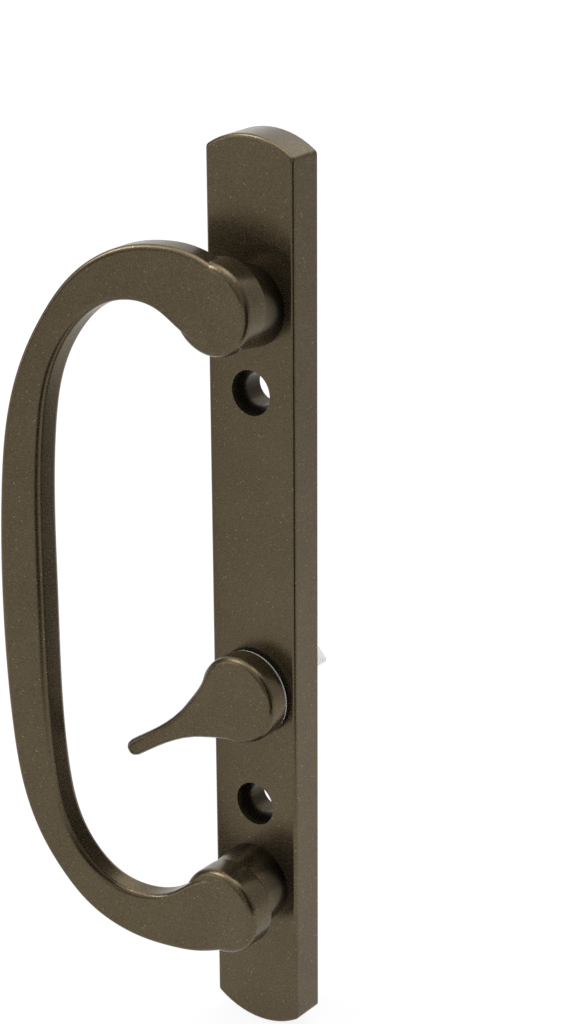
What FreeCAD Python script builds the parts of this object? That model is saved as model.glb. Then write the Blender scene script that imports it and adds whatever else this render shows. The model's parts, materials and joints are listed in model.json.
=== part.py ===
import FreeCAD, Part
import math
import os
import Sketcher

# Sliding patio door handle, inside half: a hollow cast back plate, a C-shaped pull
# standing on two posts, and a thumb lever whose nylon tail reaches into the lock.
# X runs to the right, Y goes into the door, Z runs up the plate. The door face is y = 0.

doc = FreeCAD.newDocument("door_handle")
sheet = doc.addObject("Spreadsheet::Sheet", "dims")

SIZES = [
    # back plate
    ("plate_width", 23.5),
    ("plate_straight", 207.0),
    ("plate_rise", 3.8),
    ("plate_depth", 8.5),
    ("plate_floor", 2.4),
    ("plate_wall", 1.9),
    ("plate_corner", 1.3),
    ("plate_edge", 0.85),
    ("hole_pitch", 100.0),
    ("hole_rim", 10.4),
    ("hole_bore", 8.0),
    ("hole_cone", 4.2),
    ("hole_boss", 12.6),
    ("rib_thick", 1.2),
    ("rib_short", 3.4),
    # posts of the pull and their screws
    ("post_pitch", 140.0),
    ("post_dia", 18.6),
    ("post_length", 7.2),
    ("ring_dia", 19.4),
    ("ring_bore", 14.0),
    ("ring_short", 1.0),
    ("screw_thread", 4.9),
    ("screw_reach", 12.6),
    ("screw_hole", 5.5),
    ("screw_fit", 0.05),
    ("screw_spare", 1.0),
    ("screw_head", 9.6),
    ("screw_head_rim", 1.2),
    ("screw_head_dome", 1.9),
    ("recess_long", 5.2),
    ("recess_wide", 1.15),
    ("recess_deep", 1.7),
    # pull
    ("pull_end", 20.8),
    ("pull_end_thick", 7.4),
    ("pull_end_pitch", 144.2),
    ("post_sunk", 3.0),
    ("post_lean", 1.4),
    ("pull_reach", 45.5),
    ("pull_inner", 37.9),
    ("pull_bow", 69.4),
    ("bow_start", 4.0),
    ("arm_shy", 0.05),
    ("arm_thick", 5.95),
    ("grip_swell", 2.45),
    ("pull_edge", 1.3),
    ("grip_edge", 3.25),
    ("pull_back_edge", 1.4),
    ("end_edge", 1.8),
    ("end_back_edge", 0.6),
    # thumb lever
    ("lever_drop", 21.3),
    ("lever_angle", 33.0),
    ("hub_dia", 20.6),
    ("hub_height", 5.4),
    ("lever_length", 35.2),
    ("lever_tip", 2.0),
    ("tail_set", 0.4),
    ("lever_bow", 136.0),
    ("lever_bow_start", 2.0),
    ("lever_shy", 0.02),
    ("lever_thick", 3.6),
    ("lever_edge", 1.6),
    ("lever_back_edge", 0.6),
    ("stem_dia", 8.0),
    ("stem_short", 1.2),
    ("stem_fit", 0.05),
    ("lever_boss", 15.0),
    ("lever_boss_short", 4.0),
    ("lever_seat", 16.8),
    ("lever_seat_rise", 1.0),
    ("washer_thick", 0.6),
    ("washer_dia", 20.3),
    ("washer_bore", 8.8),
    # parts behind the plate
    ("spring_thick", 0.35),
    ("spring_room", 0.9),
    ("spring_play", 0.02),
    ("spring_dia", 13.0),
    ("clip_thick", 0.8),
    ("clip_dia", 12.4),
    ("clip_play", 0.05),
    ("groove_dia", 6.5),
    ("clip_mouth", 5.6),
    ("tail_wide", 4.4),
    ("tail_thick", 2.4),
    ("tail_reach", 17.0),
    ("tail_seat", 6.0),
    ("tail_fit", 0.05),
    ("tail_turn", 49.0),
    ("tail_edge", 0.4),
]
size = {}
for row, (alias, value) in enumerate(SIZES, start=1):
    sheet.set("A%d" % row, alias)
    sheet.set("B%d" % row, str(value))
    sheet.setAlias("B%d" % row, alias)
    size[alias] = value
doc.recompute()

UP = FreeCAD.Vector(0, 0, 1)


def at(x, y):
    return FreeCAD.Vector(x, y, 0)


def new_body(name):
    return doc.addObject("PartDesign::Body", name)


def new_sketch(body, role, name, depth=None):
    """A sketch on one of the body's own planes, lifted along that plane's normal."""
    sketch = body.newObject("Sketcher::SketchObject", name)
    planes = [f for f in body.Origin.OriginFeatures if f.Role == role]
    sketch.AttachmentSupport = (planes[0], [""])
    sketch.MapMode = "FlatFace"
    if depth:
        sketch.setExpression("AttachmentOffset.Base.z", depth)
    return sketch


def bind(sketch, constraint, formula):
    index = sketch.addConstraint(constraint)
    sketch.setExpression("Constraints[%d]" % index, formula)


def add_circle(sketch, x, y, radius, formula, y_formula=None):
    """A circle on the sketch's upright axis, its size and height driven by the sheet."""
    index = sketch.addGeometry(Part.Circle(at(x, y), UP, radius), False)
    bind(sketch, Sketcher.Constraint("Radius", index, radius), formula)
    sketch.addConstraint(Sketcher.Constraint("PointOnObject", index, 3, -2))
    if y_formula:
        bind(sketch, Sketcher.Constraint("DistanceY", -1, 1, index, 3, y), y_formula)
    else:
        sketch.addConstraint(Sketcher.Constraint("PointOnObject", index, 3, -1))
    return index


def add_block(sketch, corners):
    """A closed chain of straight lines through the given corners, held where it is."""
    first = None
    for k in range(len(corners)):
        line = Part.LineSegment(corners[k], corners[(k + 1) % len(corners)])
        index = sketch.addGeometry(line, False)
        sketch.addConstraint(Sketcher.Constraint("Block", index))
        first = index if first is None else first
    return first


def extrude(body, kind, sketch, name, length, back=False):
    feature = body.newObject(kind, name)
    feature.Profile = sketch
    sketch.Visibility = False
    if length is None:
        feature.Type = "ThroughAll"
        feature.Midplane = True
    else:
        feature.setExpression("Length", length)
    feature.Reversed = back
    doc.recompute()
    return feature


def edges_where(shape, test):
    names = []
    for number, edge in enumerate(shape.Edges, start=1):
        if test(edge):
            names.append("Edge%d" % number)
    return names


def round_edges(body, feature, name, radius, test):
    fillet = body.newObject("PartDesign::Fillet", name)
    fillet.Base = (feature, edges_where(feature.Shape, test))
    fillet.setExpression("Radius", radius)
    feature.Visibility = False
    doc.recompute()
    return fillet


def plate_outline(sketch, inset, inset_formula):
    """Two straight sides closed by shallow arcs, the whole drawn in by the inset."""
    half = size["plate_width"] / 2 - inset
    straight = size["plate_straight"] / 2 - inset * 0.5
    rise = size["plate_rise"] - inset * 0.5
    side = []
    for sign in (1, -1):
        line = Part.LineSegment(at(sign * half, -sign * straight), at(sign * half, sign * straight))
        side.append(sketch.addGeometry(line, False))
    cap = []
    for sign in (1, -1):
        arc = Part.Arc(at(sign * half, sign * straight), at(0, sign * (straight + rise)),
                       at(-sign * half, sign * straight))
        cap.append(sketch.addGeometry(arc, False))
    sketch.addConstraint(Sketcher.Constraint("Coincident", side[0], 2, cap[0], 1))
    sketch.addConstraint(Sketcher.Constraint("Coincident", cap[0], 2, side[1], 1))
    sketch.addConstraint(Sketcher.Constraint("Coincident", side[1], 2, cap[1], 1))
    sketch.addConstraint(Sketcher.Constraint("Coincident", cap[1], 2, side[0], 1))
    sketch.addConstraint(Sketcher.Constraint("Symmetric", side[0], 2, side[1], 1, -2))
    sketch.addConstraint(Sketcher.Constraint("Symmetric", side[0], 1, side[0], 2, -1))
    sketch.addConstraint(Sketcher.Constraint("Symmetric", side[1], 1, side[1], 2, -1))
    bind(sketch, Sketcher.Constraint("DistanceX", side[1], 1, side[0], 2, 2 * half),
         "dims.plate_width - 2 * %s" % inset_formula)
    bind(sketch, Sketcher.Constraint("DistanceY", side[0], 1, side[0], 2, 2 * straight),
         "dims.plate_straight - %s" % inset_formula)
    radius = (half * half + rise * rise) / (2 * rise)
    for arc in cap:
        bind(sketch, Sketcher.Constraint("Radius", arc, radius),
             "((dims.plate_width / 2 - {0}) ^ 2 + (dims.plate_rise - {0} * 0.5) ^ 2)"
             " / (2 * (dims.plate_rise - {0} * 0.5))".format(inset_formula))
    doc.recompute()


# Back plate: a shell open towards the door.
plate = new_body("back_plate")
outline = new_sketch(plate, "XZ_Plane", "plate_outline")
plate_outline(outline, 0.0, "0")
slab = extrude(plate, "PartDesign::Pad", outline, "plate_slab", "dims.plate_depth")


def is_upright_edge(edge):
    box = edge.BoundBox
    return box.YLength > size["plate_depth"] * 0.9 and box.XLength < 0.01


def is_front_edge(edge):
    box = edge.BoundBox
    return box.YLength < 0.01 and abs(box.YMin + size["plate_depth"]) < 0.01


corners = round_edges(plate, slab, "plate_corners", "dims.plate_corner", is_upright_edge)
rounded = round_edges(plate, corners, "plate_front_edge", "dims.plate_edge", is_front_edge)

hollow = new_sketch(plate, "XZ_Plane", "plate_hollow")
plate_outline(hollow, size["plate_wall"], "dims.plate_wall")
extrude(plate, "PartDesign::Pocket", hollow, "plate_cavity", "dims.plate_depth - dims.plate_floor", True)

FLOOR = "dims.plate_depth - dims.plate_floor"
pitch = size["hole_pitch"] / 2
post = size["post_pitch"] / 2


def add_bosses(name, spots, radius, formula, short):
    """Round bosses standing on the floor of the hollow, ending short of the door face."""
    sketch = new_sketch(plate, "XZ_Plane", name + "_sketch", FLOOR)
    for height, height_formula in spots:
        add_circle(sketch, 0, height, radius, formula, height_formula)
    doc.recompute()
    return extrude(plate, "PartDesign::Pad", sketch, name, "%s - %s" % (FLOOR, short), True)


HOLES = [(pitch, "dims.hole_pitch / 2"), (-pitch, "-dims.hole_pitch / 2")]
POSTS = [(post, "dims.post_pitch / 2"), (-post, "-dims.post_pitch / 2")]
LEVER = [(-size["lever_drop"], "-dims.lever_drop")]
add_bosses("hole_bosses", HOLES, size["hole_boss"] / 2, "dims.hole_boss / 2", "0")
add_bosses("post_rings", POSTS, size["ring_dia"] / 2, "dims.ring_dia / 2", "dims.ring_short")
add_bosses("lever_bearing", LEVER, size["lever_boss"] / 2, "dims.lever_boss / 2", "dims.lever_boss_short")
seat = new_sketch(plate, "XZ_Plane", "lever_seat_sketch", "dims.plate_depth")
for height, height_formula in LEVER:
    add_circle(seat, 0, height, size["lever_seat"] / 2, "dims.lever_seat / 2", height_formula)
doc.recompute()
extrude(plate, "PartDesign::Pad", seat, "lever_seat", "dims.lever_seat_rise")

ribs = new_sketch(plate, "XZ_Plane", "rib_sketch", FLOOR)
thick = size["rib_thick"] / 2
inside = size["plate_width"] / 2 - size["plate_wall"] / 2
for sign in (1, -1):
    add_block(ribs, [at(-inside, sign * pitch - thick), at(inside, sign * pitch - thick),
                     at(inside, sign * pitch + thick), at(-inside, sign * pitch + thick)])
extrude(plate, "PartDesign::Pad", ribs, "cross_ribs", "%s - dims.rib_short" % FLOOR, True)
spines = new_sketch(plate, "XZ_Plane", "spine_sketch", FLOOR)
for sign in (1, -1):
    add_block(spines, [at(-thick, sign * pitch), at(thick, sign * pitch),
                       at(thick, sign * post), at(-thick, sign * post)])
extrude(plate, "PartDesign::Pad", spines, "spine_ribs", "%s - dims.rib_short" % FLOOR, True)

bores = new_sketch(plate, "XZ_Plane", "bore_sketch")
for height, height_formula in HOLES:
    add_circle(bores, 0, height, size["hole_bore"] / 2, "dims.hole_bore / 2", height_formula)
for height, height_formula in POSTS:
    add_circle(bores, 0, height, size["screw_hole"] / 2, "dims.screw_hole / 2", height_formula)
stem_bore = size["stem_dia"] / 2 + size["stem_fit"]
for height, height_formula in LEVER:
    add_circle(bores, 0, height, stem_bore, "dims.stem_dia / 2 + dims.stem_fit", height_formula)
doc.recompute()
extrude(plate, "PartDesign::Pocket", bores, "through_bores", None)

wells = new_sketch(plate, "XZ_Plane", "well_sketch")
for height, height_formula in POSTS:
    add_circle(wells, 0, height, size["ring_bore"] / 2, "dims.ring_bore / 2", height_formula)
doc.recompute()
extrude(plate, "PartDesign::Pocket", wells, "screw_wells", FLOOR, True)

for number, (height, height_formula) in enumerate(HOLES, start=1):
    cone = plate.newObject("PartDesign::SubtractiveCone", "countersink_%d" % number)
    cone.Placement = FreeCAD.Placement(at(0, 0), FreeCAD.Rotation(FreeCAD.Vector(1, 0, 0), -90))
    cone.setExpression("Radius1", "dims.hole_rim / 2")
    cone.setExpression("Radius2", "dims.hole_bore / 2")
    cone.setExpression("Height", "dims.hole_cone")
    cone.setExpression("Placement.Base.y", "-dims.plate_depth")
    cone.setExpression("Placement.Base.z", height_formula)
    doc.recompute()

plate.Tip = cone
doc.recompute()


# Pull: a C of changing section, drawn section by section between its outer and inner edge,
# bowed away from the door, with a round end on a post at either side.
# Half of each edge as points across and up, from inside the round end to the grip.
OUTER = [(3.2, 80.8), (-0.55, 82.5), (-6.5, 84.4), (-13.0, 84.85), (-20.9, 83.55), (-29.5, 78.2),
         (-36.1, 68.4), (-40.15, 58.45), (-42.8, 47.55), (-44.65, 30.0)]
INNER = [(2.0, 64.0), (-4.4, 64.8), (-8.4, 67.2), (-12.75, 70.35), (-18.5, 71.9), (-25.3, 70.2),
         (-31.4, 63.6), (-35.2, 53.9), (-36.9, 42.0)]
STATIONS = 41


def whole_edge(half, middle):
    """The edge above the middle of the grip, its middle, and the same edge below."""
    below = [(x, -z) for x, z in reversed(half)]
    curve = Part.BSplineCurve()
    curve.interpolate(Points=[FreeCAD.Vector(x, 0, z) for x, z in half + [(-middle, 0)] + below])
    return curve


def part_way(curve, share):
    first, last = curve.FirstParameter, curve.LastParameter
    return curve.value(first + (last - first) * share)


def closer_to_ends(share):
    """Spreads the sections along the straight grip and draws them together towards the ends."""
    turn = 2 * math.pi * share
    return share - 0.55 * math.sin(turn) / (2 * math.pi) + 0.2 * math.sin(2 * turn) / (4 * math.pi)


front_y = -(size["plate_depth"] + size["post_length"] + size["pull_end_thick"])
arm_front = front_y + size["arm_shy"]


def bow_at(x, level):
    """Height of a face that runs level and then bows away from the door."""
    radius = size["pull_bow"]
    past = min(0.0, x - size["bow_start"])
    return level - radius + math.sqrt(radius ** 2 - past ** 2)


def rounded_loop(sketch, corners, radii):
    """A four-sided loop with rounded corners, drawn edge by edge from the first corner."""
    cuts = []
    for k in range(4):
        here = corners[k]
        before = (corners[k - 1] - here).normalize()
        after = (corners[(k + 1) % 4] - here).normalize()
        half = before.getAngle(after) / 2
        step = radii[k] / math.tan(half)
        middle = here + (before + after).normalize() * (radii[k] / math.sin(half) - radii[k])
        cuts.append((here + before * step, middle, here + after * step))
    for k in range(4):
        sketch.addGeometry(Part.Arc(*cuts[k]), False)
        sketch.addGeometry(Part.LineSegment(cuts[k][2], cuts[(k + 1) % 4][0]), False)
    for index in range(sketch.GeometryCount):
        sketch.addConstraint(Sketcher.Constraint("Block", index))


outer_edge = whole_edge(OUTER, size["pull_reach"])
inner_edge = whole_edge(INNER, size["pull_inner"])
sections = []
for number in range(STATIONS):
    share = closer_to_ends(number / (STATIONS - 1))
    outside = part_way(outer_edge, share)
    inside = part_way(inner_edge, share)
    across = outside - inside
    width = across.Length
    across.normalize()
    deep = FreeCAD.Vector(0, 1, 0)
    section = doc.addObject("Sketcher::SketchObject", "pull_section_%d" % (number + 1))
    turn = FreeCAD.Rotation(across, deep, across.cross(deep), "XYZ")
    section.Placement = FreeCAD.Placement(inside, turn)
    corners = []
    grip = math.sin(math.pi * share) ** 2
    arm_back = arm_front + size["arm_thick"] + size["grip_swell"] * grip
    for spot, along, level in ((inside, 0, arm_front), (outside, width, arm_front),
                               (outside, width, arm_back), (inside, 0, arm_back)):
        corners.append(at(along, bow_at(spot.x, level)))
    palm = size["pull_edge"] + (size["grip_edge"] - size["pull_edge"]) * grip
    back = size["pull_back_edge"]
    rounded_loop(section, corners, [palm, size["pull_edge"], back, back])
    sections.append(section)
doc.recompute()
arm = doc.addObject("Part::Loft", "pull_arm")
arm.Sections = sections
arm.Solid = True
arm.Ruled = True
doc.recompute()


def combine(kind, name, shapes):
    """A boolean of several shapes: a common, a union, or the first less the second."""
    feature = doc.addObject("Part::" + kind, name)
    if kind == "Cut":
        feature.Base, feature.Tool = shapes
    else:
        feature.Shapes = shapes
    doc.recompute()
    return feature


def eased(across, depth, edge, turn):
    """Points round an outer corner at the given radius and depth, from the face or to it."""
    spots = []
    for step in range(4):
        angle = math.radians(30 * step)
        spots.append(at(across - edge * (1 - math.sin(angle)), depth + turn * edge * (1 - math.cos(angle))))
    return spots if turn > 0 else list(reversed(spots))


def turned(name, across, near, far, near_edge, far_edge, height):
    """A round block about an axis along Y with eased edges, at the given height."""
    body = new_body(name)
    half = new_sketch(body, "XY_Plane", name + "_half")
    spots = [at(0, near)] + eased(across, near, near_edge, 1)
    spots += eased(across, far, far_edge, -1) if far_edge else [at(across, far)]
    add_block(half, spots + [at(0, far)])
    doc.recompute()
    turn = body.newObject("PartDesign::Revolution", name + "_turned")
    turn.Profile = half
    turn.ReferenceAxis = (half, ["V_Axis"])
    turn.Angle = 360.0
    half.Visibility = False
    body.setExpression("Placement.Base.z", height)
    doc.recompute()
    return body


def peg(name, radius, height, y, z):
    """A round peg along Y, its sizes and its place driven by the sheet."""
    cylinder = doc.addObject("Part::Cylinder", name)
    cylinder.Placement = FreeCAD.Placement(at(0, 0), FreeCAD.Rotation(FreeCAD.Vector(1, 0, 0), -90))
    cylinder.setExpression("Radius", radius)
    cylinder.setExpression("Height", height)
    cylinder.setExpression("Placement.Base.y", y)
    cylinder.setExpression("Placement.Base.z", z)
    doc.recompute()
    return cylinder


def leaning_post(name, foot, head):
    """A round post that stands about its screw and leans outward into the round end."""
    rings = []
    for label, z, y in (("_foot", foot, "-dims.plate_depth"),
                        ("_head", head, "-dims.plate_depth - dims.post_length - dims.post_sunk")):
        circle = doc.addObject("Part::Circle", name + label)
        circle.Placement = FreeCAD.Placement(at(0, 0), FreeCAD.Rotation(FreeCAD.Vector(1, 0, 0), -90))
        circle.setExpression("Radius", "dims.post_dia / 2")
        circle.setExpression("Placement.Base.y", y)
        circle.setExpression("Placement.Base.z", z)
        rings.append(circle)
    doc.recompute()
    post = doc.addObject("Part::Loft", name)
    post.Sections = rings
    post.Solid = True
    post.Ruled = True
    doc.recompute()
    return post


pieces = [arm]
for number, sign in enumerate((1, -1), start=1):
    pieces.append(turned("end_%d" % number, size["pull_end"] / 2, front_y, front_y + size["pull_end_thick"],
                         size["end_edge"], size["end_back_edge"], "%d * dims.pull_end_pitch / 2" % sign))
threads = []
for number, (height, height_formula) in enumerate(POSTS, start=1):
    lean = " + dims.post_lean" if height > 0 else " - dims.post_lean"
    pieces.append(leaning_post("post_%d" % number, height_formula, height_formula + lean))
    threads.append(peg("thread_%d" % number, "dims.screw_thread / 2 + dims.screw_fit",
                       "dims.screw_reach + dims.screw_spare - dims.plate_floor",
                       "-dims.plate_depth - dims.screw_reach - dims.screw_spare + dims.plate_floor",
                       height_formula))
solid_pull = combine("MultiFuse", "pull_solid", pieces)
thread_pair = combine("MultiFuse", "thread_pair", threads)
pull = combine("Cut", "pull_handle", [solid_pull, thread_pair])

# Screws of the pull: pan heads in the wells of the plate, threaded into the posts.
HEAD_SEAT = size["plate_floor"] - size["plate_depth"]
screw = new_body("pull_screw")
half_view = new_sketch(screw, "XY_Plane", "screw_profile")
shank = size["screw_thread"] / 2
head = size["screw_head"] / 2
rim = HEAD_SEAT + size["screw_head_rim"]
crown = rim + size["screw_head_dome"]
tip = HEAD_SEAT - size["screw_reach"]
path = [at(0, crown), at(0, tip), at(shank * 0.7, tip), at(shank, tip + shank * 0.5),
        at(shank, HEAD_SEAT), at(head, HEAD_SEAT), at(head, rim)]
for k in range(len(path) - 1):
    half_view.addGeometry(Part.LineSegment(path[k], path[k + 1]), False)
dome_radius = (head ** 2 + size["screw_head_dome"] ** 2) / (2 * size["screw_head_dome"])
dome = at(head / 2, crown - dome_radius + math.sqrt(dome_radius ** 2 - head ** 2 / 4))
half_view.addGeometry(Part.Arc(path[-1], dome, path[0]), False)
for index in range(half_view.GeometryCount):
    half_view.addConstraint(Sketcher.Constraint("Block", index))
doc.recompute()
spun = screw.newObject("PartDesign::Revolution", "screw_turned")
spun.Profile = half_view
spun.ReferenceAxis = (half_view, ["V_Axis"])
spun.Angle = 360.0
doc.recompute()
recess = new_sketch(screw, "XZ_Plane", "recess_sketch",
                    "dims.plate_depth - dims.plate_floor - dims.screw_head_rim - dims.screw_head_dome")
long = size["recess_long"] / 2
slim = size["recess_wide"] / 2
quarter = [(long, -slim), (long, slim), (slim, slim)]
cross = []
for k in range(4):
    for x, y in quarter:
        for turn in range(k):
            x, y = -y, x
        cross.append(at(x, y))
add_block(recess, cross)
cut = extrude(screw, "PartDesign::Pocket", recess, "screw_recess", "dims.recess_deep", True)
screw.Tip = cut
screw.setExpression("Placement.Base.z", "dims.post_pitch / 2")
doc.recompute()
other_screw = doc.addObject("Part::Mirroring", "pull_screw_below")
other_screw.Source = screw
other_screw.Normal = UP
other_screw.Base = at(0, 0)
screws = doc.addObject("Part::Compound", "pull_screws")
screws.Links = [screw, other_screw]
doc.recompute()

# Thumb lever: a round hub with a slim tail that rises away from the door.
lever_angle = math.radians(size["lever_angle"])
lever_way = FreeCAD.Vector(-math.cos(lever_angle), 0, -math.sin(lever_angle))
lever_side = FreeCAD.Vector(math.sin(lever_angle), 0, -math.cos(lever_angle))
hub_middle = FreeCAD.Vector(0, 0, -size["lever_drop"])
seat_front = -(size["plate_depth"] + size["lever_seat_rise"])
hub_front = seat_front - size["washer_thick"] - size["hub_height"]
lever_end = size["lever_length"]
lever_tip = size["lever_tip"]

# Half widths of the tail at distances from the hub's middle.
TAIL = [(3.0, 9.3), (5.0, 8.95), (6.3, 8.27), (8.0, 7.2), (9.5, 6.45), (11.0, 5.8), (13.2, 4.95),
        (15.0, 4.25), (17.0, 3.55), (20.0, 2.8), (22.5, 2.4), (25.0, 2.12), (28.0, lever_tip),
        (lever_end - lever_tip, lever_tip)]
for short in (1.0, 0.4, 0.1):
    along = lever_tip - short
    TAIL.append((lever_end - short, math.sqrt(lever_tip ** 2 - along ** 2)))

edge = size["lever_edge"]
tail_sections = []
for number, (along, half) in enumerate(TAIL, start=1):
    section = doc.addObject("Sketcher::SketchObject", "lever_section_%d" % number)
    turn = FreeCAD.Rotation(lever_side, FreeCAD.Vector(0, 1, 0),
                            lever_side.cross(FreeCAD.Vector(0, 1, 0)), "XYZ")
    section.Placement = FreeCAD.Placement(hub_middle + lever_way * along, turn)
    bow = size["lever_bow"]
    rise = bow - math.sqrt(bow ** 2 - (along - size["lever_bow_start"]) ** 2)
    nose = max(0.0, along - (lever_end - edge))
    near = hub_front + size["lever_shy"] - rise + edge - math.sqrt(edge ** 2 - nose ** 2)
    far = hub_front + size["lever_shy"] - rise + size["lever_thick"] - 0.6 * nose
    top, bottom = size["tail_set"] - half, size["tail_set"] + half
    corners = [at(top, near), at(bottom, near), at(bottom, far), at(top, far)]
    soft = min(edge, half * 0.7)
    plain = min(size["lever_back_edge"], half * 0.7)
    rounded_loop(section, corners, [soft, soft, plain, plain])
    tail_sections.append(section)
doc.recompute()
tail = doc.addObject("Part::Loft", "lever_tail")
tail.Sections = tail_sections
tail.Solid = True
tail.Ruled = True
doc.recompute()


DROP = "-dims.lever_drop"
hub_back = hub_front + size["hub_height"]
hub = turned("lever_hub", size["hub_dia"] / 2, hub_front, hub_back, size["lever_edge"], 0, DROP)
SEATED = "dims.plate_depth + dims.lever_seat_rise"
stem = peg("lever_stem", "dims.stem_dia / 2",
           SEATED + " + dims.washer_thick + dims.hub_height / 2 - dims.stem_short",
           "-(%s) - dims.washer_thick - dims.hub_height / 2" % SEATED, DROP)
lever_solid = combine("MultiFuse", "lever_solid", [tail, hub, stem])


def ring(name, outer, inner, height, y):
    """A flat ring about the lever's axis."""
    whole = peg(name + "_outside", outer, height, y, DROP)
    bore = peg(name + "_inside", inner, height, y, DROP)
    return combine("Cut", name, [whole, bore])


CLIP_Y = "-dims.lever_boss_short + dims.spring_room"
groove = ring("stem_groove", "dims.stem_dia", "dims.groove_dia / 2",
              "dims.clip_thick + 2 * dims.clip_play", CLIP_Y + " - dims.clip_play")


def blade(name, wide, thick, start, length):
    """A flat blade along the lever's axis, turned to the slot of the lock."""
    body = new_body(name)
    sketch = new_sketch(body, "XZ_Plane", name + "_sketch", start)
    corners = [at(-2, -1), at(2, -1), at(2, 1), at(-2, 1)]
    for k in range(4):
        sketch.addGeometry(Part.LineSegment(corners[k], corners[(k + 1) % 4]), False)
    for k in range(4):
        sketch.addConstraint(Sketcher.Constraint("Coincident", k, 2, (k + 1) % 4, 1))
        kind = "Horizontal" if k % 2 == 0 else "Vertical"
        sketch.addConstraint(Sketcher.Constraint(kind, k))
    sketch.addConstraint(Sketcher.Constraint("Symmetric", 0, 1, 1, 2, -1, 1))
    bind(sketch, Sketcher.Constraint("DistanceX", 0, 1, 0, 2, 4), wide)
    bind(sketch, Sketcher.Constraint("DistanceY", 1, 1, 1, 2, 2), thick)
    doc.recompute()
    pad = extrude(body, "PartDesign::Pad", sketch, name + "_pad", length, True)
    body.Placement = FreeCAD.Placement(at(0, 0), FreeCAD.Rotation(FreeCAD.Vector(0, 1, 0), 45))
    body.setExpression("Placement.Rotation.Angle", "dims.tail_turn * 1 deg")
    body.setExpression("Placement.Base.z", DROP)
    doc.recompute()
    return body, pad


SEAT = "dims.stem_short + dims.tail_seat"
slot, _ = blade("tail_slot", "dims.tail_wide + 2 * dims.tail_fit",
                "dims.tail_thick + 2 * dims.tail_fit", SEAT, "dims.tail_seat + dims.stem_short")
cuts = combine("MultiFuse", "lever_cuts", [groove, slot])
lever = combine("Cut", "thumb_lever", [lever_solid, cuts])

tailpiece, tail_pad = blade("tailpiece", "dims.tail_wide", "dims.tail_thick", SEAT,
                            "dims.tail_reach + %s" % SEAT)


def is_outer_edge(line):
    along = line.BoundBox.YLength > size["tail_reach"]
    return along or line.BoundBox.YMin > size["tail_reach"] - 0.01


bevel = tailpiece.newObject("PartDesign::Chamfer", "tailpiece_bevel")
bevel.Base = (tail_pad, edges_where(tail_pad.Shape, is_outer_edge))
bevel.setExpression("Size", "dims.tail_edge")
doc.recompute()

washer = ring("lever_washer", "dims.washer_dia / 2", "dims.washer_bore / 2", "dims.washer_thick",
              "-(%s) - dims.washer_thick" % SEATED)

# Spring washer: a thin ring bent to a bow between the bearing and the clip.
bent = new_body("spring_bow")
bow_view = new_sketch(bent, "XY_Plane", "spring_view")
thin = size["spring_thick"]
wide = size["spring_dia"] / 2 + 0.5
low = -size["lever_boss_short"] + size["spring_play"]
high = -size["lever_boss_short"] + size["spring_room"] - size["spring_play"]
rounds = size["spring_dia"] / 2
sag = high - thin - low
radius = (rounds ** 2 + sag ** 2) / (2 * sag)
droop = radius - math.sqrt(radius ** 2 - wide ** 2)
upper = [at(-wide, high - droop), at(0, high), at(wide, high - droop)]
lower = [at(-wide, high - thin - droop), at(0, high - thin), at(wide, high - thin - droop)]
bow_view.addGeometry(Part.Arc(*upper), False)
bow_view.addGeometry(Part.LineSegment(upper[2], lower[2]), False)
bow_view.addGeometry(Part.Arc(*lower), False)
bow_view.addGeometry(Part.LineSegment(lower[0], upper[0]), False)
for index in range(bow_view.GeometryCount):
    bow_view.addConstraint(Sketcher.Constraint("Block", index))
doc.recompute()
strip = bent.newObject("PartDesign::Pad", "spring_strip")
strip.Profile = bow_view
strip.Midplane = True
strip.setExpression("Length", "2 * dims.spring_dia")
bent.setExpression("Placement.Base.z", DROP)
doc.recompute()
spring_ring = ring("spring_ring", "dims.spring_dia / 2", "dims.washer_bore / 2",
                   "2 * dims.spring_room", "-dims.lever_boss_short - dims.spring_room / 2")
spring = combine("MultiCommon", "spring_washer", [spring_ring, bent])

# Retaining clip: a flat ring open at one side, pushed into the groove of the stem.
clip_ring = ring("clip_ring", "dims.clip_dia / 2", "dims.groove_dia / 2 + dims.clip_play",
                 "dims.clip_thick", CLIP_Y)
mouth = doc.addObject("Part::Box", "clip_mouth")
mouth.setExpression("Length", "dims.clip_dia")
mouth.setExpression("Height", "dims.clip_mouth")
mouth.setExpression("Width", "2 * dims.clip_thick")
mouth.setExpression("Placement.Base.y", CLIP_Y + " - dims.clip_thick / 2")
mouth.setExpression("Placement.Base.z", "-dims.lever_drop - dims.clip_mouth / 2")
doc.recompute()
clip = combine("Cut", "retaining_clip", [clip_ring, mouth])

NODES = [("back_plate", plate), ("pull_handle", pull), ("pull_screws", screws), ("thumb_lever", lever),
         ("lever_washer", washer), ("spring_washer", spring), ("retaining_clip", clip),
         ("tailpiece", tailpiece)]
doc.recompute()
for thing in doc.Objects:
    for word in ("Invalid", "Error"):
        if word in thing.State:
            raise RuntimeError("%s did not build" % thing.Name)
os.makedirs("parts", exist_ok=True)
for node, thing in NODES:
    thing.Label = node
    if thing.Shape.isNull() or not thing.Shape.isValid() or not thing.Shape.Solids:
        raise RuntimeError("%s has no sound solid" % node)
    thing.Shape.exportStep("parts/%s.step" % node)
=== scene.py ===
import json
import math

import bmesh
import bpy
import numpy as np
from mathutils import Matrix, Vector


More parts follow.
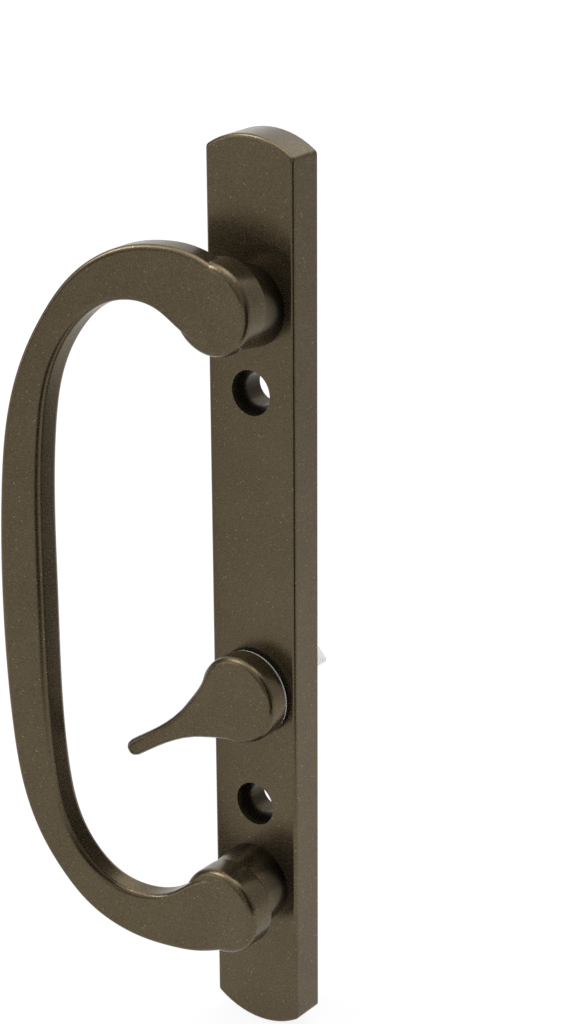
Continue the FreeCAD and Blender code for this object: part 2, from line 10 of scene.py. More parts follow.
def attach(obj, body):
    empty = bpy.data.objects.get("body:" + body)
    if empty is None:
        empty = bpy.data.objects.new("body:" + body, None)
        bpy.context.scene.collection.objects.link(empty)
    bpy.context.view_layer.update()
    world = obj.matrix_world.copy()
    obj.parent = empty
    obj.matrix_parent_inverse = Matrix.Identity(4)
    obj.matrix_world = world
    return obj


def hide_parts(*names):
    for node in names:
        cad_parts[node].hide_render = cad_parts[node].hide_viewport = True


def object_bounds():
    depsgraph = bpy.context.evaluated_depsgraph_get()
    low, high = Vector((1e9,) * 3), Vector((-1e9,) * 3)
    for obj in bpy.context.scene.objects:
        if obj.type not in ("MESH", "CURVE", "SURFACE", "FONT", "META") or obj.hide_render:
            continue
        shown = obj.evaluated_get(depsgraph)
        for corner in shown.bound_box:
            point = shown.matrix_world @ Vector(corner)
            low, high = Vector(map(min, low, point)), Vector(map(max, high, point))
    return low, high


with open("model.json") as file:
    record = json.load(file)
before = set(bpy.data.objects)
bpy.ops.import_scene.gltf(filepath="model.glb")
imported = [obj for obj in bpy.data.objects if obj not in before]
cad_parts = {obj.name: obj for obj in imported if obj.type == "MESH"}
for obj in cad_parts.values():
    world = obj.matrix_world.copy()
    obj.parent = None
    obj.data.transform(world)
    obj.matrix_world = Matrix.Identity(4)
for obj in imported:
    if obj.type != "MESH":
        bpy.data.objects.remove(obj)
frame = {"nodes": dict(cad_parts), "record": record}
nodes = frame["nodes"]
bodies = frame["record"]["behaviour"]["bodies"]
body_of_node = {node: body for body, members in bodies.items() for node in members}
slot_of_node = {row["node"]: row["material_slot"] for row in frame["record"]["subparts"]}
cad_low, cad_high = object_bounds()
scene = bpy.context.scene
scene.view_settings.view_transform = "Standard"

MM = 0.001
MEETING = 0.002 * MM  # points nearer than this are one point


class Value:
    """A number or a vector that changes over a surface. Arithmetic on it adds nodes."""

    def __init__(self, tree, socket, vector=False):
        self.tree = tree
        self.socket = socket
        self.vector = vector

    def step(self, operation, items, vector=False, output=0):
        kind = "ShaderNodeVectorMath" if self.vector else "ShaderNodeMath"
        made = self.tree.nodes.new(kind)
        made.operation = operation
        sockets = [made.inputs[0], made.inputs["Scale"]] if operation == "SCALE" else made.inputs
        for socket, item in zip(sockets, items):
            if isinstance(item, Value):
                self.tree.links.new(item.socket, socket)
            else:
                socket.default_value = item
        return Value(self.tree, made.outputs[output], vector)

    def __add__(self, other):
        return self.step("ADD", (self, other), self.vector)

    def __radd__(self, other):
        return self.step("ADD", (other, self), self.vector)

    def __sub__(self, other):
        return self.step("SUBTRACT", (self, other), self.vector)

    def __rsub__(self, other):
        return self.step("SUBTRACT", (other, self), self.vector)

    def __mul__(self, other):
        return self.step("SCALE" if self.vector else "MULTIPLY", (self, other), self.vector)

    def __rmul__(self, other):
        return self * other

    def __truediv__(self, other):
        return self.step("DIVIDE", (self, other))

    def __rtruediv__(self, other):
        return self.step("DIVIDE", (other, self))

    def larger(self, other):
        return self.step("MAXIMUM", (self, other))

    def smaller(self, other):
        return self.step("MINIMUM", (self, other))

    def like(self, other, within):
        """One where the number is as near to the other as given, else nothing."""
        return self.step("COMPARE", (self, other, within))

    def of(self, operation, *others):
        return self.step(operation, (self, *others))

    def unit(self):
        return self.step("NORMALIZE", (self,), True)

    def dot(self, other):
        return self.step("DOT_PRODUCT", (self, other), False, "Value")

    def length(self):
        return self.step("LENGTH", (self,), False, "Value")

    def part(self, axis):
        """One coordinate of a vector."""
        made = self.tree.nodes.new("ShaderNodeSeparateXYZ")
        self.tree.links.new(self.socket, made.inputs[0])
        return Value(self.tree, made.outputs[axis])


class Tree:
    """A tree of nodes."""

    def node(self, kind, settings=None, inputs=None, output=0, vector=False):
        made = self.tree.nodes.new(kind)
        for key, setting in (settings or {}).items():
            setattr(made, key, setting)
        for key, item in (inputs or {}).items():
            socket = made.inputs[key]
            for one in item if isinstance(item, list) else [item]:
                if isinstance(one, Value):
                    self.tree.links.new(one.socket, socket)
                elif isinstance(one, tuple) and len(one) == 3 and len(socket.default_value) == 4:
                    socket.default_value = (*one, 1.0)
                else:
                    socket.default_value = one
        return Value(self.tree, made.outputs[output], vector) if made.outputs else None


class Finish(Tree):
    """The surface of one kind of piece: a material and the nodes that it is made of."""

    def __init__(self, name, tree=None):
        if tree is None:
            self.material = bpy.data.materials.new(name)
            self.material.use_nodes = True
            tree = self.material.node_tree
        self.tree = tree
        self.tree.nodes.clear()

    def place(self):
        return self.node("ShaderNodeTexCoord", output="Object", vector=True)

    def noise(self, scale, detail=2.0, roughness=0.5):
        inputs = {"Vector": self.place(), "Scale": scale, "Detail": detail, "Roughness": roughness}
        return self.node("ShaderNodeTexNoise", {}, inputs)

    def specks(self, scale):
        """A random number for each cell of a fine crumble, as bright flakes in paint have."""
        shade = self.node("ShaderNodeTexVoronoi", {}, {"Vector": self.place(), "Scale": scale}, "Color")
        return self.node("ShaderNodeSeparateColor", {}, {"Color": shade}, "Red")

    def span(self, value, low, high, start=0.0, end=1.0):
        """Value brought from low..high to start..end, with soft shoulders."""
        inputs = {"Value": value, "From Min": low, "From Max": high, "To Min": start, "To Max": end}
        return self.node("ShaderNodeMapRange", {"interpolation_type": "SMOOTHSTEP"}, inputs)

    def blend(self, share, first, second):
        """A colour between two colours."""
        return self.node("ShaderNodeMix", {"data_type": "RGBA"}, {0: share, 6: first, 7: second}, 2)

    def relief(self, height, depth):
        """The normal of a surface whose height changes by the given depth."""
        return self.node("ShaderNodeBump", {}, {"Height": height, "Strength": 1.0, "Distance": depth})

    def close(self, **inputs):
        """Joins the surface to the material's output."""
        named = {key.replace("_", " "): item for key, item in inputs.items()}
        surface = self.node("ShaderNodeBsdfPrincipled", {}, named, "BSDF")
        self.node("ShaderNodeOutputMaterial", {}, {"Surface": surface})
        return self.material


class Form(Tree):
    """A shape made by a rule: a geometry tree with named sizes."""

    KINDS = {float: "Float", int: "Int", bpy.types.Object: "Object", bpy.types.Material: "Material"}

    def __init__(self, name, sizes):
        self.tree = bpy.data.node_groups.new(name, "GeometryNodeTree")
        sockets = self.tree.interface
        sockets.new_socket("Geometry", in_out="OUTPUT", socket_type="NodeSocketGeometry")
        sockets.new_socket("Geometry", in_out="INPUT", socket_type="NodeSocketGeometry")
        self.inputs = []
        for label, size in sizes.items():
            kind = "NodeSocket" + self.KINDS[type(size)]
            socket = sockets.new_socket(label, in_out="INPUT", socket_type=kind)
            self.inputs.append((socket.identifier, size))
        self.entry = self.tree.nodes.new("NodeGroupInput")

    def size(self, label):
        return Value(self.tree, self.entry.outputs[label])

    def place(self):
        return self.node("GeometryNodeInputPosition", vector=True)

    def joined(self, x, y, z):
        return self.node("ShaderNodeCombineXYZ", {}, {0: x, 1: y, 2: z}, vector=True)

    def sheet(self, along, around):
        """A flat sheet of points, and the numbers of each point along and around it."""
        inputs = {"Size X": 1.0, "Size Y": 1.0, "Vertices X": along, "Vertices Y": around}
        mesh = self.node("GeometryNodeMeshGrid", {}, inputs)
        spot = self.place()
        first = ((spot.part("X") + 0.5) * (along - 1)).of("ROUND")
        second = ((spot.part("Y") + 0.5) * (around - 1)).of("ROUND")
        return mesh, first, second

    def moved(self, mesh, position):
        """The sheet with its points put in place."""
        inputs = {"Geometry": mesh, "Position": position}
        return self.merged(self.node("GeometryNodeSetPosition", {}, inputs))

    def merged(self, mesh):
        """The mesh with points that meet made one."""
        return self.node("GeometryNodeMergeByDistance", {}, {"Geometry": mesh, "Distance": MEETING})

    def union(self, meshes, solver, crossing=False):
        """Meshes made one. Crossing says that a mesh may run through itself."""
        settings = {"operation": "UNION", "solver": solver}
        inputs = {"Mesh 2": meshes}
        if crossing:
            inputs["Self Intersection"] = True
        return self.node("GeometryNodeMeshBoolean", settings, inputs)

    def cut(self, mesh, tools, solver):
        """The mesh with the tools taken out of it."""
        settings = {"operation": "DIFFERENCE", "solver": solver}
        return self.node("GeometryNodeMeshBoolean", settings, {"Mesh 1": mesh, "Mesh 2": tools})

    def shifted(self, mesh, translation, rotation=(0.0, 0.0, 0.0)):
        """The mesh turned and then moved."""
        inputs = {"Geometry": mesh, "Translation": translation, "Rotation": rotation}
        return self.node("GeometryNodeTransform", {}, inputs)

    def run(self, name, geometry, start=None):
        """Ends the tree, runs it on a starting mesh and gives the plain mesh."""
        real = self.node("GeometryNodeRealizeInstances", {}, {"Geometry": geometry})
        inputs = {"Geometry": real, "Material": self.size("Material")}
        painted = self.node("GeometryNodeSetMaterial", {}, inputs)
        self.node("NodeGroupOutput", {}, {"Geometry": painted})
        piece = bpy.data.objects.new(name, start or bpy.data.meshes.new(name))
        scene.collection.objects.link(piece)
        rule = piece.modifiers.new(name, "NODES")
        rule.node_group = self.tree
        for identifier, size in self.inputs:
            rule[identifier] = size
        evaluated = piece.evaluated_get(bpy.context.evaluated_depsgraph_get())
        mesh = bpy.data.meshes.new_from_object(evaluated)
        bpy.data.objects.remove(piece)
        return mesh


def bronze_paint(name, painted_shade=None):
    """Satin dark bronze powder coat with fine metal flake, with shade painted in as near-black where a mask
    is given.
    """
    paint = Finish(name)
    clouds = paint.noise(90.0, 3.0)
    grain = paint.noise(2700.0, 2.0, 0.6)
    fine = paint.specks(4200.0)
    coarse = paint.specks(3900.0)
    flake = paint.span(coarse, 0.985, 1.0)
    body = paint.blend(paint.span(clouds, 0.35, 0.65), (0.088, 0.067, 0.038), (0.098, 0.076, 0.044))
    mottled = paint.blend(fine * 0.6, body, (0.148, 0.116, 0.071))
    pitted = paint.blend(paint.span(grain, 0.30, 0.58, 0.50, 0.0), mottled, (0.050, 0.038, 0.021))
    colour = paint.blend(flake * 0.45, pitted, (0.36, 0.30, 0.20))
    if painted_shade:
        # Painted shade: the colour goes near-black where the mask says.
        colour = paint.blend(painted_shade(paint), colour, (0.014, 0.012, 0.008))
    sheen = 0.27 + (fine - 0.5) * 0.10 - flake * 0.08
    skin = paint.relief(grain, 0.0025 * MM)
    return paint.close(Base_Color=colour, Roughness=sheen, Metallic=0.88, Normal=skin)


# Where shade is painted into the paint's colour, in mm, and how dark the painted shade is there.
GAP_FRONT, GAP_BACK = -16.4, -9.0
GAP_PAINTED_SHADE = 0.88
HOLE_AT = 50.0
HOLE_INSIDE, HOLE_RIM = 4.7, 5.2
HOLE_PAINTED_SHADE = 0.72


def painted_shade_between_plate_and_end(paint):
    """Painted shade on the posts, in the narrow gap between the plate and the round ends."""
    depth = paint.place().part("Y")
    return paint.span(depth, GAP_FRONT * MM, GAP_BACK * MM, 0.0, GAP_PAINTED_SHADE)


def painted_shade_in_door_screw_holes(paint):
    """Painted shade inside the countersunk holes of the plate."""
    spot = paint.place()
    across = spot.part("X")
    off = spot.part("Z").of("ABSOLUTE") - HOLE_AT * MM
    away = (across * across + off * off).of("SQRT")
    return paint.span(away, HOLE_INSIDE * MM, HOLE_RIM * MM, HOLE_PAINTED_SHADE, 0.0)


def zinc_plate():
    """Bright zinc on turned steel, a little cloudy."""
    plate = Finish("zinc_plate")
    clouds = plate.noise(700.0, 3.0)
    grain = plate.noise(5200.0, 2.0)
    colour = plate.blend(plate.span(clouds, 0.3, 0.7), (0.53, 0.54, 0.54), (0.66, 0.67, 0.66))
    skin = plate.relief(grain, 0.006 * MM)
    return plate.close(Base_Color=colour, Roughness=0.24 + clouds * 0.14, Metallic=1.0, Normal=skin)


def nylon(name, dark, light):
    """Natural nylon, slightly clouded, with the fine skin of a moulding."""
    moulding = Finish(name)
    clouds = moulding.noise(320.0, 3.0)
    grain = moulding.noise(3000.0, 2.0)
    colour = moulding.blend(moulding.span(clouds, 0.3, 0.7), dark, light)
    skin = moulding.relief(grain, 0.008 * MM)
    return moulding.close(Base_Color=colour, Roughness=0.42 + (grain - 0.5) * 0.12, Normal=skin)


def spring_steel():
    """Oiled spring steel with rolling lines."""
    steel = Finish("spring_steel")
    clouds = steel.noise(500.0, 3.0)
    grain = steel.noise(4200.0, 3.0)
    colour = steel.blend(steel.span(clouds, 0.3, 0.7), (0.24, 0.24, 0.25), (0.34, 0.34, 0.35))
    skin = steel.relief(grain, 0.008 * MM)
    return steel.close(Base_Color=colour, Roughness=0.34 + (grain - 0.5) * 0.2, Metallic=1.0, Normal=skin)


FINISHES = {
    "bronze_paint": bronze_paint("bronze_paint"),
    "zinc": zinc_plate(),
    "nylon": nylon("white_nylon", (0.70, 0.70, 0.68), (0.79, 0.79, 0.77)),
    "spring_steel": spring_steel(),
}
# Copies of the bronze paint with painted shade: on the pull's posts, and inside the plate's screw holes.
PULL_PAINT_SHADED = bronze_paint("pull_paint_shaded", painted_shade_between_plate_and_end)
PLATE_PAINT_SHADED = bronze_paint("plate_paint_shaded", painted_shade_in_door_screw_holes)
# The washer's white nylon made grey: painted shade for the dim gap between the lever's hub and the plate.
WASHER_NYLON_SHADED = nylon("washer_nylon_shaded", (0.29, 0.29, 0.28), (0.35, 0.35, 0.34))


def settled(node, mesh, finish, corner):
    """Puts a mesh in the node's place: seams joined, curves shaded smooth, corners kept crisp."""
    form = bmesh.new()
    form.from_mesh(mesh)
    bmesh.ops.remove_doubles(form, verts=form.verts, dist=MEETING)
    bmesh.ops.recalc_face_normals(form, faces=form.faces)
    for face in form.faces:
        face.smooth = True
    for edge in form.edges:
        edge.smooth = edge.calc_face_angle(math.pi) < math.radians(corner)
    form.to_mesh(mesh)
    form.free()
    piece = bpy.data.objects.new(node + "_finished", mesh)
    scene.collection.objects.link(piece)
    weigh = piece.modifiers.new("even_normals", "WEIGHTED_NORMAL")
    weigh.mode = "FACE_AREA"
    weigh.weight = 100
    weigh.keep_sharp = True
    evaluated = piece.evaluated_get(bpy.context.evaluated_depsgraph_get())
    made = bpy.data.meshes.new_from_object(evaluated)
    piece.modifiers.clear()
    piece.data = made
    made.materials.clear()
    made.materials.append(finish)
    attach(piece, body_of_node[node])
    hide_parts(node)


def same_form(node):
    """The node's own form as a plain mesh."""
    source = nodes[node].data
    mesh = bpy.data.meshes.new(node + "_finished")
    points = [vertex.co.copy() for vertex in source.vertices]
    mesh.from_pydata(points, [], [tuple(face.vertices) for face in source.polygons])
    return mesh


# Pull, in mm. Half of each edge of the arm as points across and up, from inside the round end to the grip.
OUTER = [(3.2, 80.8), (-0.55, 82.5), (-6.5, 84.4), (-13.0, 84.85), (-20.9, 83.55), (-29.5, 78.2),
         (-36.1, 68.4), (-40.15, 58.45), (-42.8, 47.55), (-44.65, 30.0)]
INNER = [(2.0, 64.0), (-4.4, 64.8), (-8.4, 67.2), (-12.75, 70.35), (-18.5, 71.9), (-25.3, 70.2),
         (-31.4, 63.6), (-35.2, 53.9), (-36.9, 42.0)]
REACH = 45.5
INSIDE = 37.9
FRONT = -23.1
ARM_SHY = 0.05  # the arm's face lies this far behind the faces of the ends
DENSER_ENDS, DENSER_BENDS = 0.55, 0.2  # how far the arm's sections crowd there
END_BACK = -15.7
END_AT = 72.1
END_RADIUS = 10.4
END_EDGE = 1.8
END_BACK_EDGE = 0.6
POST_AT = 70.0
POST_LEAN = 1.4
POST_RADIUS = 9.3
POST_FOOT = -8.5
POST_HEAD = -18.7
BORE_RADIUS = 2.5
BORE_END = -19.7
BORE_SPARE = 0.5  # how far the drill stands out of the post's foot
ROUND_SIDES = 96
SPOTS_A_GAP = 24
NUDGE = 0.001  # keeps a whole number from falling a step when it is floored


def edge_curve(name, half, middle):
    """A smooth curve through the points above the grip, its middle and the same points below."""
    spots = np.array(half + [(-middle, 0.0)] + [(x, -z) for x, z in reversed(half)])
    gaps = np.linalg.norm(np.diff(spots, axis=0), axis=1)
    slopes = np.diff(spots, axis=0) / gaps[:, None]
    count = len(spots)
    matrix = np.zeros((count, count))
    wanted = np.zeros((count, 2))
    matrix[0, 0] = matrix[-1, -1] = 1.0
    wanted[0] = slopes[0] + (slopes[0] - slopes[1]) * gaps[0] / (gaps[0] + gaps[1])
    wanted[-1] = slopes[-1] + (slopes[-1] - slopes[-2]) * gaps[-1] / (gaps[-1] + gaps[-2])
    for k in range(1, count - 1):
        before, after = 1 / gaps[k - 1], 1 / gaps[k]
        matrix[k, k - 1:k + 2] = before, 2 * (before + after), after
        wanted[k] = 3 * (slopes[k - 1] * before + slopes[k] * after)
    ways = np.linalg.solve(matrix, wanted)
    line = []
    for k in range(count - 1):
        for share in np.linspace(0, 1, SPOTS_A_GAP, endpoint=False):
            rest = 1 - share
            line.append(spots[k] * (1 + 2 * share) * rest ** 2 + spots[k + 1] * share ** 2 * (3 - 2 * share)
                        + gaps[k] * share * rest * (ways[k] * rest - ways[k + 1] * share))
    line.append(spots[-1])
    curve = bpy.data.curves.new(name, "CURVE")
    curve.dimensions = "3D"
    spline = curve.splines.new("POLY")
    spline.points.add(len(line) - 1)
    for point, (x, z) in zip(spline.points, line):
        point.co = (x * MM, 0.0, z * MM, 1.0)
    guide = bpy.data.objects.new(name, curve)
    scene.collection.objects.link(guide)
    return guide


def ring_shell(rings, sides=ROUND_SIDES):
    """Points and faces of a shell through rings about axes along Y, each (height, depth, radius) in mm."""
    points = []
    faces = []
    for height, depth, radius in rings:
        for k in range(sides):
            angle = 2 * math.pi * k / sides
            across, up = radius * math.cos(angle), height + radius * math.sin(angle)
            points.append((across * MM, depth * MM, up * MM))
    for row in range(len(rings) - 1):
        here, next_row = row * sides, (row + 1) * sides
        for k in range(sides):
            after = (k + 1) % sides
            faces.append((here + k, next_row + k, next_row + after, here + after))
    return points, faces


def rounding(height, radius, depth, edge, turn, steps=12):
    """Rings round the outer corner of a block, from its face or to it."""
    rings = []
    for step in range(steps + 1):
        angle = math.pi / 2 * step / steps
        sunk, narrower = edge * (1 - math.cos(angle)), edge * (1 - math.sin(angle))
        rings.append((height, depth + turn * sunk, radius - narrower))
    return rings if turn > 0 else list(reversed(rings))


def ends_and_posts():
    """The two round ends and the two posts that they stand on, each a closed shell from front to back."""
    points = []
    faces = []
    for sign in (1, -1):
        end = sign * END_AT
        post = sign * POST_AT
        block = [(end, FRONT, 0.0)] + rounding(end, END_RADIUS, FRONT, END_EDGE, 1)
        block += rounding(end, END_RADIUS, END_BACK, END_BACK_EDGE, -1) + [(end, END_BACK, 0.0)]
        head = post + sign * POST_LEAN
        stand = [(head, POST_HEAD, 0.0), (head, POST_HEAD, POST_RADIUS),
                 (post, POST_FOOT, POST_RADIUS), (post, POST_FOOT, 0.0)]
        for shell in (ring_shell(block), ring_shell(stand)):
            first = len(points)
            points += shell[0]
            faces += [tuple(first + k for k in face) for face in shell[1]]
    mesh = bpy.data.meshes.new("ends_and_posts")
    mesh.from_pydata(points, [], faces)
    return mesh


def pull_form():
    """The arm drawn section by section between its two edges, bowed, joined to the ends and bored."""
    sizes = {
        "Outer edge": edge_curve("outer_edge", OUTER, REACH),
        "Inner edge": edge_curve("inner_edge", INNER, INSIDE),
        "Sections": 181,
        "Corner points": 13,
        "Front level": (FRONT + ARM_SHY) * MM,
        "Thickness": 5.95 * MM,
        "Swell": 2.45 * MM,
        "Bow radius": 69.4 * MM,
        "Bow start": 4.0 * MM,
        "Front rounding": 1.3 * MM,
        "Palm rounding": 3.25 * MM,
        "Back rounding": 1.4 * MM,
        "Bore radius": BORE_RADIUS * MM,
        "Bore length": (POST_FOOT - BORE_END + BORE_SPARE) * MM,
        "Bore middle": (POST_FOOT + BORE_END + BORE_SPARE) / 2 * MM,
        "Bore place": POST_AT * MM,
        "Material": PULL_PAINT_SHADED,
    }
    rule = Form("pull_rule", sizes)
    points = rule.size("Corner points")
    mesh, station, number = rule.sheet(rule.size("Sections") + 2, points * 4 + 1)
    even = ((station - 1) / (rule.size("Sections") - 1)).larger(0.0).smaller(1.0)
    turn = even * (2 * math.pi)
    at_ends = turn.of("SINE") * (DENSER_ENDS / (2 * math.pi))
    at_bends = (turn * 2).of("SINE") * (DENSER_BENDS / (4 * math.pi))
    share = even - at_ends + at_bends

    def along(edge):
        curve = rule.node("GeometryNodeObjectInfo", {}, {"Object": rule.size(edge)}, "Geometry")
        inputs = {"Curves": curve, "Factor": share}
        return rule.node("GeometryNodeSampleCurve", {"mode": "FACTOR"}, inputs, "Position", True)

    outside = along("Outer edge")
    inside = along("Inner edge")
    grip = (share * math.pi).of("SINE").of("POWER", 2.0)
    thick = rule.size("Thickness") + rule.size("Swell") * grip
    radius = rule.size("Bow radius")

    def corner(count):
        """A corner of the section: inside front, outside front, outside back, inside back."""
        count = count.of("FLOORED_MODULO", 4.0)
        behind = count.of("GREATER_THAN", 1.5)
        spot = inside + (outside - inside) * count.like(1.5, 0.6)
        past = (spot.part("X") - rule.size("Bow start")).smaller(0.0)
        bow = radius - (radius * radius - past * past).of("SQRT")
        depth = rule.size("Front level") + thick * behind - bow
        return rule.joined(spot.part("X"), depth, spot.part("Z"))

    quarter = (number / points + NUDGE).of("FLOOR")
    way = (number - quarter * points) / (points - 1)
    here = corner(quarter)
    before = (corner(quarter + 3) - here).unit()
    after = (corner(quarter + 1) - here).unit()
    which = quarter.of("FLOORED_MODULO", 4.0)
    front = rule.size("Front rounding")
    palm = front + (rule.size("Palm rounding") - front) * grip
    rounded = palm * which.like(0.0, 0.1) + front * which.like(1.0, 0.1)
    rounded = rounded + rule.size("Back rounding") * which.of("GREATER_THAN", 1.5)
    half = before.dot(after).of("ARCCOSINE") * 0.5
    middle = here + (before + after).unit() * (rounded / half.of("SINE"))
    reach = rounded / half.of("TANGENT")
    first = here + before * reach - middle
    last = here + after * reach - middle
    opening = math.pi - half * 2
    skin = first * ((opening * (1 - way)).of("SINE") / opening.of("SINE"))
    skin = middle + skin + last * ((opening * way).of("SINE") / opening.of("SINE"))
    capped = (station.like(0.0, 0.1) + station.like(rule.size("Sections") + 1, 0.1)).smaller(1.0)
    heart = (corner(quarter * 0) + corner(quarter * 0 + 2)) * 0.5
    arm = rule.moved(mesh, skin + (heart - skin) * capped)
    whole = rule.union([arm, rule.merged(rule.size("Geometry"))], "EXACT", True)
    inputs = {"Vertices": ROUND_SIDES, "Radius": rule.size("Bore radius"), "Depth": rule.size("Bore length")}
    drill = rule.node("GeometryNodeMeshCylinder", {}, inputs, "Mesh")
    bores = []
    for sign in (1, -1):
        place = rule.joined(0.0, rule.size("Bore middle"), rule.size("Bore place") * sign)
        bores.append(rule.shifted(drill, place, (math.pi / 2, 0.0, 0.0)))
    made = rule.run("pull", rule.cut(whole, bores, "EXACT"), ends_and_posts())
    for edge in ("Outer edge", "Inner edge"):
        bpy.data.objects.remove(sizes[edge])
    return made


# Screws of the pull, in mm.
SEAT = -6.1
HEAD_RADIUS = 4.8
SHANK_RADIUS = 2.45
CROWN = -3.0
RIM = -4.9
TIP = -18.7
TIP_CONE = 1.2
TIP_SHARE = 0.7  # the flat of the tip, as a share of the shank's radius
PLAIN_NECK = 2.4
PLAIN_TIP = 1.4
THREAD_SLOPE, THREAD_FLAT = 3.2, 0.3  # steepness of the flanks and the flat between them
HEAD_STEPS = 12
SHANK_STEPS = 78


def screw_outline():
    """Half of a screw's outline as radius and depth, from crown to tip, and the number of its points."""
    bulge = (HEAD_RADIUS ** 2 + (CROWN - RIM) ** 2) / (2 * (CROWN - RIM))
    spots = []
    for step in range(HEAD_STEPS + 1):
        radius = HEAD_RADIUS * step / HEAD_STEPS
        spots.append((radius, CROWN - bulge + math.sqrt(bulge ** 2 - radius ** 2)))
    spots += [(HEAD_RADIUS, SEAT), (SHANK_RADIUS, SEAT)]
    for step in range(1, SHANK_STEPS + 1):
        spots.append((SHANK_RADIUS, SEAT + (TIP + TIP_CONE - SEAT) * step / SHANK_STEPS))
    spots += [(SHANK_RADIUS * TIP_SHARE, TIP), (0.0, TIP)]
    mesh = bpy.data.meshes.new("screw_outline")
    mesh.from_pydata([(x * MM, y * MM, 0.0) for x, y in spots], [], [])
    guide = bpy.data.objects.new("screw_outline", mesh)
    scene.collection.objects.link(guide)
    return guide, len(spots)


def screw_form():
    """One pan-head screw with a cross recess and a cut thread, set in both posts."""
    outline, rows = screw_outline()
    sizes = {
        "Outline": outline,
        "Rows": rows,
        "Sides": 48,
        "Pitch": 0.9 * MM,
        "Thread depth": 0.42 * MM,
        "Thread start": (SEAT - PLAIN_NECK) * MM,
        "Thread end": (TIP + PLAIN_TIP) * MM,
        "Recess length": 5.2 * MM,
        "Recess width": 1.15 * MM,
        "Recess depth": 1.7 * MM,
        "Spacing": 2 * POST_AT * MM,
        "Material": FINISHES["zinc"],
    }
    rule = Form("screw_rule", sizes)
    mesh, side, row = rule.sheet(rule.size("Sides") + 1, rule.size("Rows"))
    line = rule.node("GeometryNodeObjectInfo", {}, {"Object": rule.size("Outline")}, "Geometry")
    inputs = {"Geometry": line, "Value": rule.place(), "Index": row}
    spot = rule.node("GeometryNodeSampleIndex", {"data_type": "FLOAT_VECTOR"}, inputs, vector=True)
    depth = spot.part("Y")
    circle = side / rule.size("Sides")
    wave = (depth / rule.size("Pitch") + circle).of("FRACT")
    flank = (wave - 0.5).of("ABSOLUTE") * THREAD_SLOPE - THREAD_FLAT
    valley = 1 - flank.larger(0.0).smaller(1.0)
    begun = depth.of("LESS_THAN", rule.size("Thread start"))
    threaded = begun * depth.of("GREATER_THAN", rule.size("Thread end"))
    radius = spot.part("X") - valley * threaded * rule.size("Thread depth")
    angle = circle * (2 * math.pi)
    skin = rule.joined(radius * angle.of("COSINE"), depth, radius * angle.of("SINE"))
    blank = rule.moved(mesh, skin)
    long, slim = rule.size("Recess length"), rule.size("Recess width")
    bars = []
    # One bar of the cross is a little deeper, so that the floors of the two do not lie in each other.
    for width, height, deeper in ((long, slim, 2.0), (slim, long, 2.1)):
        size = rule.joined(width, rule.size("Recess depth") * deeper, height)
        bar = rule.node("GeometryNodeMeshCube", {}, {"Size": size})
        bars.append(rule.shifted(bar, (0.0, CROWN * MM, 0.0)))
    screw = rule.cut(blank, rule.union(bars, "FLOAT"), "FLOAT")
    low = rule.joined(0.0, 0.0, rule.size("Spacing") * -0.5)
    step = rule.joined(0.0, 0.0, rule.size("Spacing"))
    places = rule.node("GeometryNodeMeshLine", {}, {"Count": 2, "Start Location": low, "Offset": step})
    pair = rule.node("GeometryNodeInstanceOnPoints", {}, {"Points": places, "Instance": screw})
    made = rule.run("screws", pair)
    bpy.data.objects.remove(outline)
    return made


OWN_FORMS = {"pull_handle": pull_form, "pull_screws": screw_form}
OWN_FINISHES = {"pull_handle": PULL_PAINT_SHADED, "back_plate": PLATE_PAINT_SHADED, "lever_washer": WASHER_NYLON_SHADED}
CORNER = 38.0  # degrees from which an edge stays crisp
OWN_CORNERS = {"pull_handle": 11.0}
for node in sorted(nodes):
    mesh = OWN_FORMS[node]() if node in OWN_FORMS else same_form(node)
    finish = OWN_FINISHES.get(node, FINISHES[slot_of_node[node]])
    settled(node, mesh, finish, OWN_CORNERS.get(node, CORNER))


WHITE_SHARE, SHEEN_SHARE = 0.90, 0.80  # of the floor that glows for the camera and in reflections
GLOW_NEAR, GLOW_FAR = 0.18, 0.50  # metres between which the floor dims in reflections
CLOSE_GLOW, CLOSE_DROP = 1.06, 0.13  # close to the part, and less than that to the front left
FAR_GLOW, FAR_RISE = 0.68, 0.09  # far from the part, and more than that to the front left


def pale_floor():
    """White board that keeps a soft shadow and dims a little way off in reflections."""
    board = Finish("pale_floor")
    path = "ShaderNodeLightPath"
    camera = board.node(path, output="Is Camera Ray").larger(board.node(path, output="Is Transmission Ray"))
    share = (camera * WHITE_SHARE).larger(board.node(path, output="Is Glossy Ray") * SHEEN_SHARE)
    matt = board.node("ShaderNodeBsdfDiffuse", {}, {"Color": (0.86, 0.86, 0.86)})
    spot = board.place()
    front_left = board.span(spot.part("X") * -0.6 - spot.part("Y") * 0.8, -0.15, 0.15)
    close = CLOSE_GLOW - front_left * CLOSE_DROP
    afar = FAR_GLOW + front_left * FAR_RISE
    glow = close + (afar - close) * board.span(spot.length(), GLOW_NEAR, GLOW_FAR)
    level = glow + (1.0 - glow) * camera
    white = board.node("ShaderNodeEmission", {}, {"Color": level, "Strength": 1.0})
    mixed = board.node("ShaderNodeMixShader", {}, {0: share, 1: matt, 2: white})
    board.node("ShaderNodeOutputMaterial", {}, {"Surface": mixed})
    return board.material


def black_card():
    """Matt black board that only shows in the sheen of edges."""
    board = Finish("black_card")
    black = board.blend(board.noise(40.0), (0.004, 0.004, 0.004), (0.008, 0.008, 0.008))
    matt = board.node("ShaderNodeBsdfDiffuse", {}, {"Color": black})
    board.node("ShaderNodeOutputMaterial", {}, {"Surface": matt})
    return board.material


def flat_board(name, corners, finish):
    """A flat board with four corners."""
    mesh = bpy.data.meshes.new(name)
    mesh.from_pydata(corners, [], [(0, 1, 2, 3)])
    mesh.materials.append(finish)
    board = bpy.data.objects.new(name, mesh)
    scene.collection.objects.link(board)
    return board


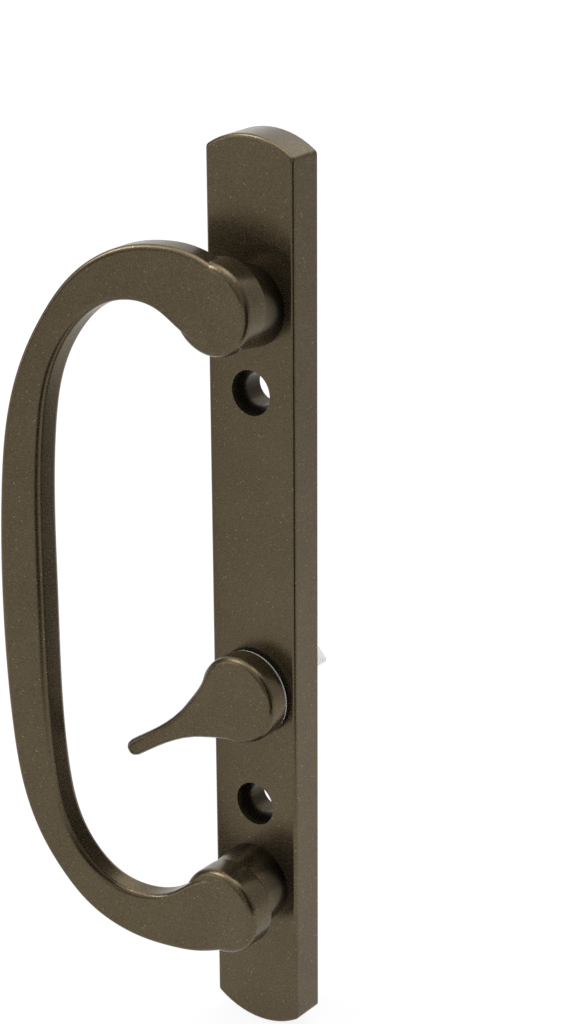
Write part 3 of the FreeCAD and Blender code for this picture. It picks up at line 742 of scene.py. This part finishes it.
FLOOR_HALF = 4.0
FLOOR_GAP = 0.5 * MM
FLOOR_SIDES = ((-1, -1), (1, -1), (1, 1), (-1, 1))
floor_level = cad_low.z - FLOOR_GAP
floor_corners = [(x * FLOOR_HALF, y * FLOOR_HALF, floor_level) for x, y in FLOOR_SIDES]
floor = flat_board("floor", floor_corners, pale_floor())

# A narrow black card stands close by, to the right of the front, and draws a dark line along rounded edges.
CARD_ENDS = [(61.0, -84.0), (104.0, -24.0)]
CARD_LOW, CARD_HIGH = -75.0, 95.0
card_corners = [(*end, CARD_LOW) for end in CARD_ENDS] + [(*end, CARD_HIGH) for end in reversed(CARD_ENDS)]
card = flat_board("card", [Vector(corner) * MM for corner in card_corners], black_card())
card.visible_camera = False
card.visible_diffuse = False
card.visible_transmission = False
card.visible_shadow = False

# Soft lights round the room, each (degrees round from the front, degrees up, narrowness, strength).
SOFT_LIGHTS = {
    "front_right": (45.0, 4.0, 14.0, 0.80),
    "right": (90.0, 4.0, 14.0, 0.27),
    "back_right": (135.0, 4.0, 14.0, 0.64),
    "back": (180.0, 4.0, 14.0, 1.25),
    "back_left": (225.0, 4.0, 14.0, 1.15),
    "front_left": (315.0, 4.0, 14.0, 2.28),
    "front_raised": (0.0, 38.0, 12.0, 0.98),
    "right_raised": (60.0, 38.0, 12.0, 0.42),
    "back_right_raised": (120.0, 38.0, 12.0, 0.51),
    "back_raised": (180.0, 38.0, 12.0, 1.94),
    "back_left_raised": (240.0, 38.0, 12.0, 1.19),
    "front_left_raised": (303.0, 46.0, 45.0, 13.0),
    "overhead": (0.0, 90.0, 10.0, 4.0),
}
world = bpy.data.worlds.new("studio")
world.use_nodes = True
scene.world = world
room = Finish("studio", world.node_tree)
toward = room.node("ShaderNodeTexCoord", output="Generated", vector=True)
light = 0.0
for around, rise, narrow, strength in SOFT_LIGHTS.values():
    turn, rise = math.radians(around), math.radians(rise)
    way = (math.sin(turn) * math.cos(rise), -math.cos(turn) * math.cos(rise), math.sin(rise))
    light = toward.dot(way).larger(0.0).of("POWER", narrow) * strength + light
air = room.node("ShaderNodeBackground", {}, {"Color": (1.0, 1.0, 1.0), "Strength": light})
room.node("ShaderNodeOutputWorld", {}, {"Surface": air})

# The camera stands where the straight edges and holes of the plate put it.
AROUND = math.radians(36.955)
ABOVE = math.radians(21.149)
TILT = math.radians(-0.266)
STAND = Vector((337.150, -441.886, 234.607)) * MM
FOCAL, PICTURE_HEIGHT = 93.50, 36.0
right = Vector((math.cos(AROUND), math.sin(AROUND), 0.0))
back = Vector((math.sin(AROUND) * math.cos(ABOVE), -math.cos(AROUND) * math.cos(ABOVE), math.sin(ABOVE)))
up = back.cross(right)
level = right * math.cos(TILT) + up * math.sin(TILT)
upright = up * math.cos(TILT) - right * math.sin(TILT)
lens = bpy.data.cameras.new("camera")
lens.sensor_fit = "VERTICAL"
lens.sensor_height = PICTURE_HEIGHT
lens.lens = FOCAL
lens.clip_start = 0.01
camera = bpy.data.objects.new("camera", lens)
camera.matrix_world = Matrix.Translation(STAND) @ Matrix((level, upright, back)).transposed().to_4x4()
scene.collection.objects.link(camera)
scene.camera = camera
